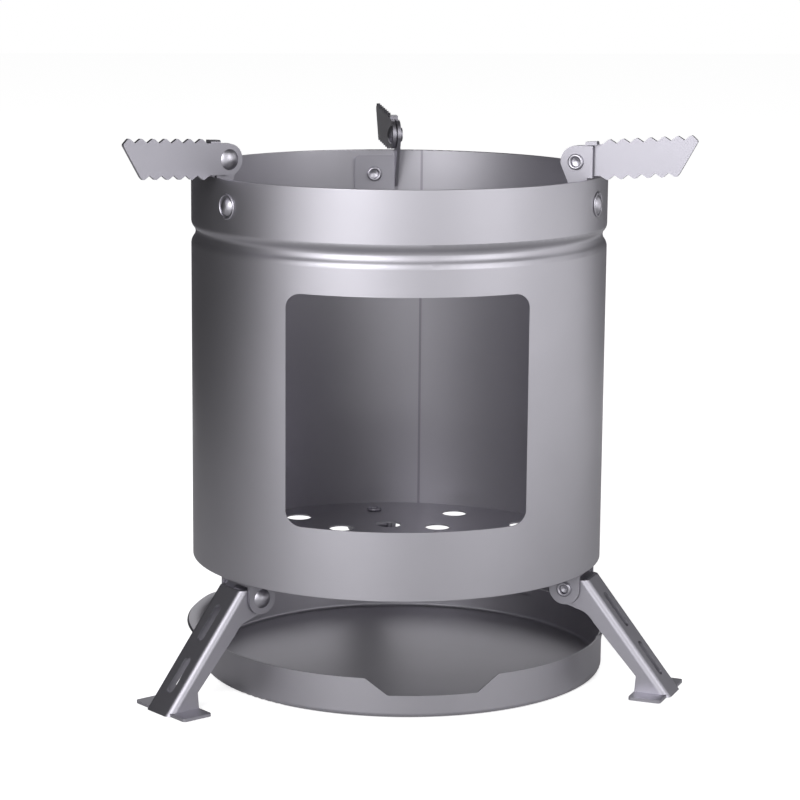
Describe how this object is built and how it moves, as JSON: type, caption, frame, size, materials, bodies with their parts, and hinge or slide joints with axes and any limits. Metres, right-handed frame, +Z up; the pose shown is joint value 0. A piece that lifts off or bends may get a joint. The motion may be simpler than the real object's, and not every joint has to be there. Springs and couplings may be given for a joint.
{
  "type": "wood stove",
  "caption": "Round sheet-metal wood stove with a front fuel window, a pierced grate, folding legs, folding toothed pot arms and a loose ash tray.",
  "frame": {"origin": "on the ground under the body's axis, at the ash tray's underside", "axes": "+Z up; -Y towards the front, midway between the two front legs; +X to the right as seen from the front"},
  "size_m": [0.194, 0.1814, 0.1933],
  "materials": {
    "titanium_sheet": "blasted titanium, satin",
    "titanium_pressed": "blasted titanium, satin",
    "rivet_metal": "smooth, slightly shiny"
  },
  "bodies": {
    "tray": {"ash_tray": "titanium_sheet"},
    "stove": {"body_shell": "titanium_sheet", "bottom_grate": "titanium_sheet", "left_pot_bracket": "titanium_pressed", "left_wall_rivet": "rivet_metal", "left_arm_rivet": "rivet_metal", "left_arm_washer": "rivet_metal", "left_leg_bracket": "titanium_pressed", "left_bracket_rivet": "rivet_metal", "left_leg_rivet": "rivet_metal", "right_pot_bracket": "titanium_pressed", "right_wall_rivet": "rivet_metal", "right_arm_rivet": "rivet_metal", "right_arm_washer": "rivet_metal", "right_leg_bracket": "titanium_pressed", "right_bracket_rivet": "rivet_metal", "right_leg_rivet": "rivet_metal", "rear_pot_bracket": "titanium_pressed", "rear_wall_rivet": "rivet_metal", "rear_arm_rivet": "rivet_metal", "rear_arm_washer": "rivet_metal", "rear_leg_bracket": "titanium_pressed", "rear_bracket_rivet": "rivet_metal", "rear_leg_rivet": "rivet_metal"},
    "left_arm": {"left_pot_arm": "titanium_pressed"},
    "left_leg": {"left_leg": "titanium_pressed"},
    "right_arm": {"right_pot_arm": "titanium_pressed"},
    "right_leg": {"right_leg": "titanium_pressed"},
    "rear_arm": {"rear_pot_arm": "titanium_pressed"},
    "rear_leg": {"rear_leg": "titanium_pressed"}
  },
  "joints": [
    {"name": "lift_off", "type": "slide", "parent": "tray", "child": "stove", "axis": [0, 0, 1], "range_m": [0, 0.1728]},
    {"name": "left_arm_fold", "type": "hinge", "parent": "stove", "child": "left_arm", "pos_m": [-0.05828, -0.03365, 0.1831], "axis": [-0.5, 0.866, 0], "range_deg": [0, 176]},
    {"name": "left_leg_fold", "type": "hinge", "parent": "stove", "child": "left_leg", "pos_m": [-0.05619, -0.03443, 0.035], "axis": [0.5225, -0.8526, 0], "range_deg": [0, 128.1]},
    {"name": "right_arm_fold", "type": "hinge", "parent": "stove", "child": "right_arm", "pos_m": [0.05828, -0.03365, 0.1831], "axis": [-0.5, -0.866, 0], "range_deg": [-2, 174]},
    {"name": "right_leg_fold", "type": "hinge", "parent": "stove", "child": "right_leg", "pos_m": [0.0569, -0.03325, 0.035], "axis": [0.5045, 0.8634, 0], "range_deg": [0, 128.1]},
    {"name": "rear_arm_fold", "type": "hinge", "parent": "stove", "child": "rear_arm", "pos_m": [0, 0.0673, 0.1831], "axis": [1, 0, 0], "range_deg": [0, 176]},
    {"name": "rear_leg_fold", "type": "hinge", "parent": "stove", "child": "rear_leg", "pos_m": [0, 0.0659, 0.035], "axis": [-1, 0, 0], "range_deg": [0, 128.1]}
  ],
  "couplings": [
    {"joint": "left_leg_fold", "follows": "lift_off", "rad_per_m": 12.93},
    {"joint": "right_leg_fold", "follows": "lift_off", "rad_per_m": 12.93},
    {"joint": "rear_leg_fold", "follows": "lift_off", "rad_per_m": 12.93}
  ]
}
